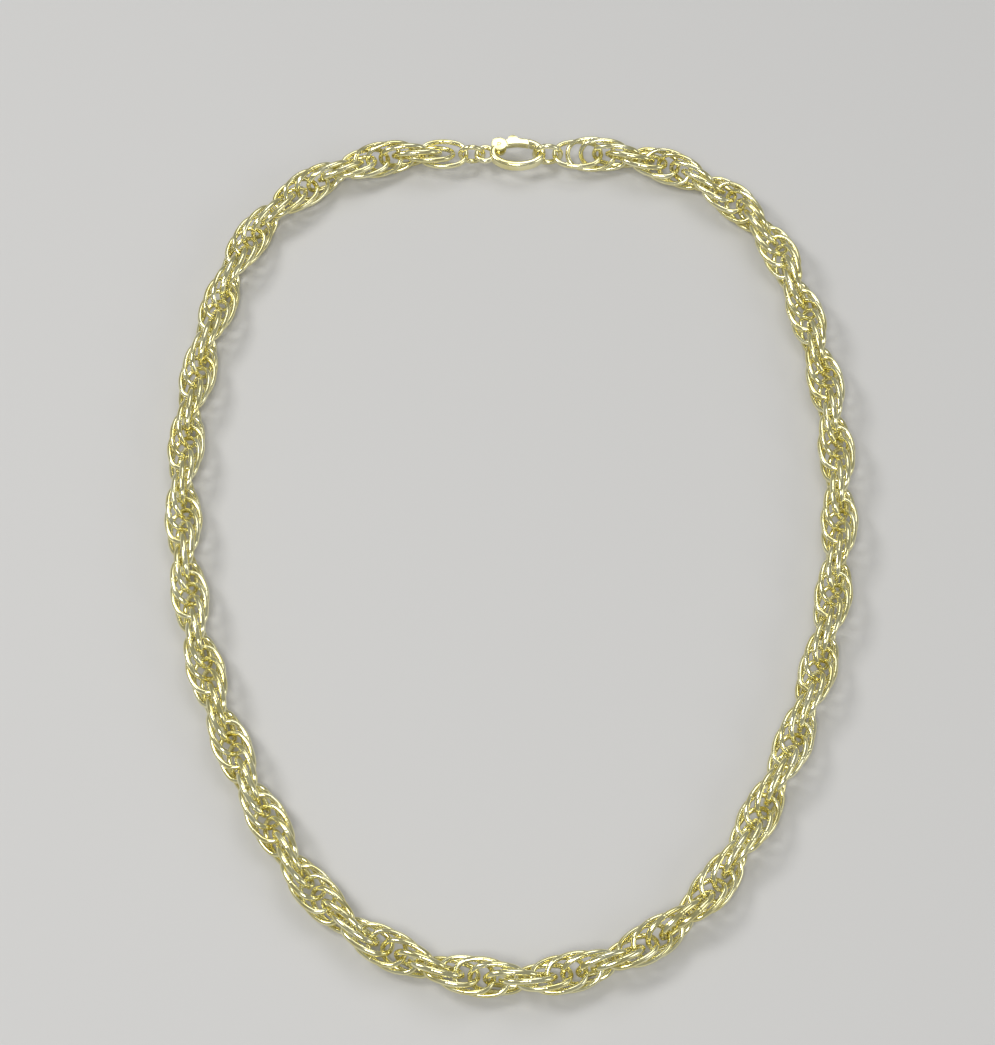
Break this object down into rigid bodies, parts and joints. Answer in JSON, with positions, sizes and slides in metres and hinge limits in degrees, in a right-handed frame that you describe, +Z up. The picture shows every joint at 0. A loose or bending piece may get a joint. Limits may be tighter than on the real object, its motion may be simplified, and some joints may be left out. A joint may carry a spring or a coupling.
{
  "type": "chain necklace",
  "caption": "Gold-tone rope-twist chain necklace of interlocked oval wire links, lying closed in a flat oval loop with a lobster-claw clasp at the back.",
  "frame": {"origin": "centre of the loop's box, on the surface that the chain lies on", "axes": "+X across the necklace, +Y from its front to the clasp, +Z up from the surface"},
  "size_m": [0.1456, 0.2042, 0.008],
  "materials": {
    "chain_gold": "polished",
    "clasp_gold": "polished",
    "spring_steel": "satin"
  },
  "bodies": {
    "front": {"front_links": "chain_gold"},
    "right_01": {"right_links_01": "chain_gold", "right_links_02": "chain_gold"},
    "right_02": {"right_links_03": "chain_gold", "right_links_04": "chain_gold"},
    "right_03": {"right_links_05": "chain_gold", "right_links_06": "chain_gold"},
    "right_04": {"right_links_07": "chain_gold", "right_links_08": "chain_gold"},
    "right_05": {"right_links_09": "chain_gold", "right_links_10": "chain_gold"},
    "right_06": {"right_links_11": "chain_gold", "right_links_12": "chain_gold"},
    "right_07": {"right_links_13": "chain_gold", "right_links_14": "chain_gold", "catch_ring": "clasp_gold"},
    "left_01": {"left_links_01": "chain_gold", "left_links_02": "chain_gold"},
    "left_02": {"left_links_03": "chain_gold", "left_links_04": "chain_gold"},
    "left_03": {"left_links_05": "chain_gold", "left_links_06": "chain_gold"},
    "left_04": {"left_links_07": "chain_gold", "left_links_08": "chain_gold"},
    "left_05": {"left_links_09": "chain_gold", "left_links_10": "chain_gold"},
    "left_06": {"left_links_11": "chain_gold", "left_links_12": "chain_gold"},
    "left_07": {"left_links_13": "chain_gold", "left_links_14": "chain_gold"},
    "clasp": {"claw_body": "clasp_gold", "lever_pin": "clasp_gold", "lever_spring": "spring_steel", "jump_ring": "clasp_gold"},
    "trigger": {"claw_lever": "clasp_gold"}
  },
  "joints": [
    {"name": "right_bend_01", "type": "hinge", "parent": "front", "child": "right_01", "pos_m": [0.01029, -0.09778, 0.004], "axis": [0, 0, 1], "range_deg": [-3, 3]},
    {"name": "right_bend_02", "type": "hinge", "parent": "right_01", "child": "right_02", "pos_m": [0.03971, -0.07923, 0.004], "axis": [0, 0, 1], "range_deg": [-1.59, 1.59]},
    {"name": "right_bend_03", "type": "hinge", "parent": "right_02", "child": "right_03", "pos_m": [0.05656, -0.04805, 0.004], "axis": [0, 0, 1], "range_deg": [-1.81, 1.81]},
    {"name": "right_bend_04", "type": "hinge", "parent": "right_03", "child": "right_04", "pos_m": [0.06635, -0.01398, 0.004], "axis": [0, 0, 1], "range_deg": [-3.94, 3.94]},
    {"name": "right_bend_05", "type": "hinge", "parent": "right_04", "child": "right_05", "pos_m": [0.06871, 0.0214, 0.004], "axis": [0, 0, 1], "range_deg": [-3.49, 3.49]},
    {"name": "right_bend_06", "type": "hinge", "parent": "right_05", "child": "right_06", "pos_m": [0.06355, 0.05647, 0.004], "axis": [0, 0, 1], "range_deg": [-1.3, 1.3]},
    {"name": "right_bend_07", "type": "hinge", "parent": "right_06", "child": "right_07", "pos_m": [0.04671, 0.08697, 0.004], "axis": [0, 0, 1], "range_deg": [-3.29, 3.29]},
    {"name": "left_bend_01", "type": "hinge", "parent": "front", "child": "left_01", "pos_m": [-0.01029, -0.09778, 0.004], "axis": [0, 0, 1], "range_deg": [-3.08, 3.08]},
    {"name": "left_bend_02", "type": "hinge", "parent": "left_01", "child": "left_02", "pos_m": [-0.03971, -0.07923, 0.004], "axis": [0, 0, 1], "range_deg": [-1.59, 1.59]},
    {"name": "left_bend_03", "type": "hinge", "parent": "left_02", "child": "left_03", "pos_m": [-0.05656, -0.04805, 0.004], "axis": [0, 0, 1], "range_deg": [-1.81, 1.81]},
    {"name": "left_bend_04", "type": "hinge", "parent": "left_03", "child": "left_04", "pos_m": [-0.06635, -0.01398, 0.004], "axis": [0, 0, 1], "range_deg": [-3.94, 3.94]},
    {"name": "left_bend_05", "type": "hinge", "parent": "left_04", "child": "left_05", "pos_m": [-0.06871, 0.0214, 0.004], "axis": [0, 0, 1], "range_deg": [-3.49, 3.49]},
    {"name": "left_bend_06", "type": "hinge", "parent": "left_05", "child": "left_06", "pos_m": [-0.06355, 0.05647, 0.004], "axis": [0, 0, 1], "range_deg": [-1.3, 1.3]},
    {"name": "left_bend_07", "type": "hinge", "parent": "left_06", "child": "left_07", "pos_m": [-0.04671, 0.08697, 0.004], "axis": [0, 0, 1], "range_deg": [-3.29, 3.29]},
    {"name": "clasp_turn", "type": "hinge", "parent": "left_07", "child": "clasp", "pos_m": [-0.00991, 0.09741, 0.004], "axis": [0, 0, 1], "range_deg": [-1.5, 1.5]},
    {"name": "claw_lever_press", "type": "hinge", "parent": "clasp", "child": "trigger", "pos_m": [-0.0026, 0.09953, 0.004], "axis": [0, 0, 1], "range_deg": [-25, 0], "stiffness_Nm_per_rad": 0.004, "springref_deg": 5.73}
  ],
  "couplings": [
    {"joint": "right_bend_02", "follows": "right_bend_01", "ratio": 0.51162},
    {"joint": "right_bend_03", "follows": "right_bend_01", "ratio": -0.58351},
    {"joint": "right_bend_04", "follows": "right_bend_01", "ratio": -1.2818},
    {"joint": "right_bend_05", "follows": "right_bend_01", "ratio": -1.1345},
    {"joint": "right_bend_06", "follows": "right_bend_01", "ratio": 0.41958},
    {"joint": "right_bend_07", "follows": "right_bend_01", "ratio": 1.0686},
    {"joint": "left_bend_01", "follows": "right_bend_01", "ratio": -1},
    {"joint": "left_bend_02", "follows": "right_bend_01", "ratio": -0.51162},
    {"joint": "left_bend_03", "follows": "right_bend_01", "ratio": 0.58351},
    {"joint": "left_bend_04", "follows": "right_bend_01", "ratio": 1.2818},
    {"joint": "left_bend_05", "follows": "right_bend_01", "ratio": 1.1345},
    {"joint": "left_bend_06", "follows": "right_bend_01", "ratio": -0.41958},
    {"joint": "left_bend_07", "follows": "right_bend_01", "ratio": -1.0686}
  ]
}
